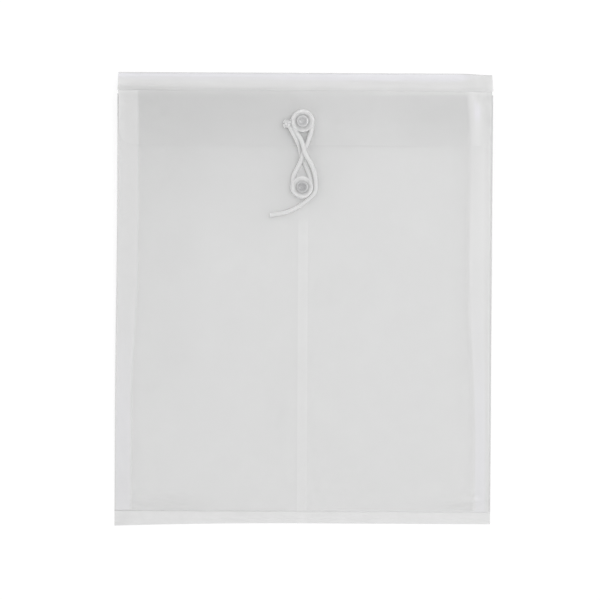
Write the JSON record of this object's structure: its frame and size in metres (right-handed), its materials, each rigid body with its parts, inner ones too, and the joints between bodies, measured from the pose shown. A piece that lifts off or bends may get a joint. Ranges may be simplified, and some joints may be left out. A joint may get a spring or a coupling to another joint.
{
  "type": "string tie envelope",
  "caption": "Clear film document envelope with side gussets and a top flap, closed by a string wound in a figure eight round riveted buttons.",
  "frame": {"origin": "middle of the back, on the surface that the envelope lies on", "axes": "+X to the right seen from the front, +Y towards the top fold, +Z out of the front"},
  "size_m": [0.2476, 0.2984, 0.0165],
  "materials": {
    "film": "frosted clear polypropylene, satin",
    "weld": "fused clear polypropylene, satin",
    "button": "moulded clear plastic, glossy",
    "rivet": "satin grey metal",
    "washer": "satin grey metal",
    "string": "white twisted cord"
  },
  "bodies": {
    "pocket_back": {"back_panel_left": "film", "back_panel_right": "film", "bottom_weld": "weld", "left_gusset_back": "film", "right_gusset_back": "film"},
    "pocket_front": {"front_panel": "film", "left_gusset_front": "film", "right_gusset_front": "film", "lower_rivet": "rivet", "lower_backing_washer": "washer"},
    "spine": {"flap_spine": "film"},
    "flap": {"flap_panel": "film", "upper_rivet": "rivet", "upper_backing_washer": "washer", "string_knot": "string", "string_winding": "string", "string_tail": "string"},
    "upper_spool": {"upper_button": "button"},
    "lower_spool": {"lower_button": "button"}
  },
  "joints": [
    {"name": "flap_open", "type": "hinge", "parent": "pocket_back", "child": "spine", "pos_m": [0, 0.14893, 0.0006], "axis": [-1, 0, 0], "range_deg": [0, 130], "deforming": ["string_winding", "string_tail"]},
    {"name": "flap_score", "type": "hinge", "parent": "spine", "child": "flap", "pos_m": [0, 0.13682, 0.00946], "axis": [-1, 0, 0], "range_deg": [0, 37.7]},
    {"name": "pocket_open", "type": "hinge", "parent": "pocket_back", "child": "pocket_front", "pos_m": [0, -0.14022, 0.001], "axis": [1, 0, 0], "range_deg": [0, 3.65], "deforming": ["left_gusset_back", "left_gusset_front", "right_gusset_back", "right_gusset_front"]},
    {"name": "upper_button_spin", "type": "hinge", "parent": "flap", "child": "upper_spool", "pos_m": [-0.0015, 0.11672, 0.00904], "axis": [0, -0.0255, 0.9997], "continuous": true},
    {"name": "lower_button_spin", "type": "hinge", "parent": "pocket_front", "child": "lower_spool", "pos_m": [-0.0015, 0.07362, 0.00655], "axis": [0, -0.0255, 0.9997], "continuous": true}
  ],
  "couplings": [
    {"joint": "flap_score", "follows": "flap_open", "ratio": 0.28958},
    {"joint": "pocket_open", "follows": "flap_open", "ratio": 0.027943}
  ]
}
